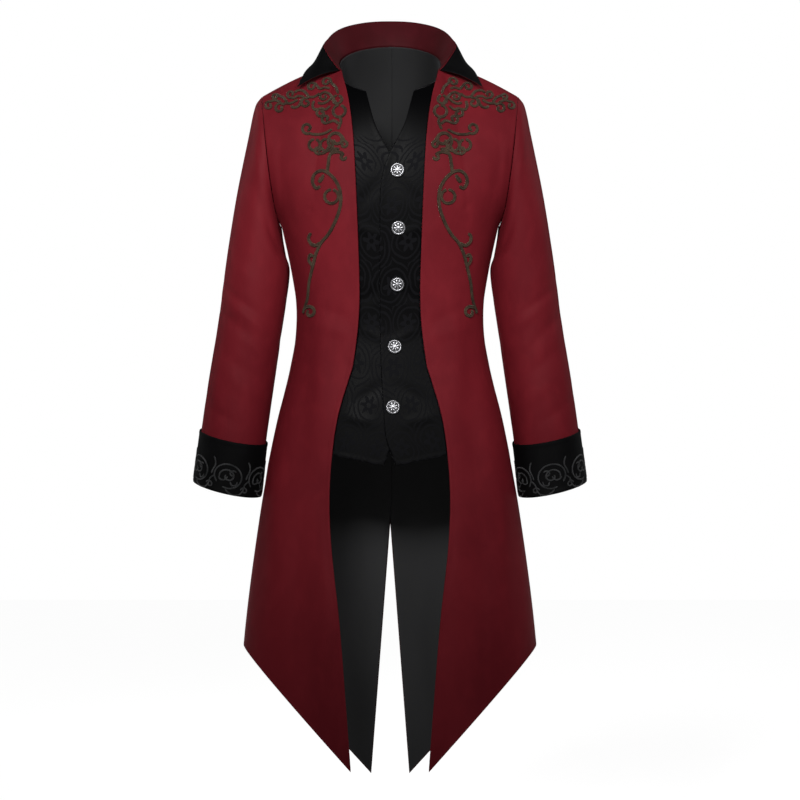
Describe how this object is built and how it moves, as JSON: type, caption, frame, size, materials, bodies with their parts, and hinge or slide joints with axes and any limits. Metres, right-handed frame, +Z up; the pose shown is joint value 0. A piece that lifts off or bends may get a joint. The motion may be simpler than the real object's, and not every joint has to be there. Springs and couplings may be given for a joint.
{
  "type": "frock coat",
  "caption": "Knee-length tailed frock coat, worn and hollow, with a stand collar with wing ends, false waistcoat fronts, turned-back cuffs, braid scrolls and buttons.",
  "frame": {"origin": "on the line where the coat rests on the wearer's shoulders, midway between the two neck points of the shoulder seams", "axes": "+Z up, the front faces -Y, +X to the wearer's left"},
  "size_m": [0.6496, 0.2902, 1.2516],
  "materials": {
    "coat_cloth": "short-pile deep red velveteen with a soft sheen",
    "black_velvet": "black velvet, with a woven grey scroll band on the cuffs",
    "brocade": "black damask with a tone-on-tone floral figure",
    "lining": "charcoal twill lining, smooth",
    "braid": "dark bronze soutache braid",
    "button_metal": "antique silver with worn high spots"
  },
  "bodies": {
    "root": {"front_left": "coat_cloth", "front_right": "coat_cloth", "back_left": "coat_cloth", "back_right": "coat_cloth", "lining_left": "lining", "lining_right": "lining", "vest_left": "brocade", "vest_right": "brocade", "sleeve_left": "coat_cloth", "sleeve_right": "coat_cloth", "cuff_left": "black_velvet", "cuff_right": "black_velvet", "collar": "coat_cloth", "collar_wing_left": "black_velvet", "collar_wing_right": "black_velvet", "braid_stem_left": "braid", "braid_stem_right": "braid", "braid_edge_left": "braid", "braid_edge_right": "braid", "braid_shoulder_left": "braid", "braid_shoulder_right": "braid", "button_1": "button_metal", "button_2": "button_metal", "button_3": "button_metal", "button_4": "button_metal", "button_5": "button_metal"}
  },
  "joints": []
}
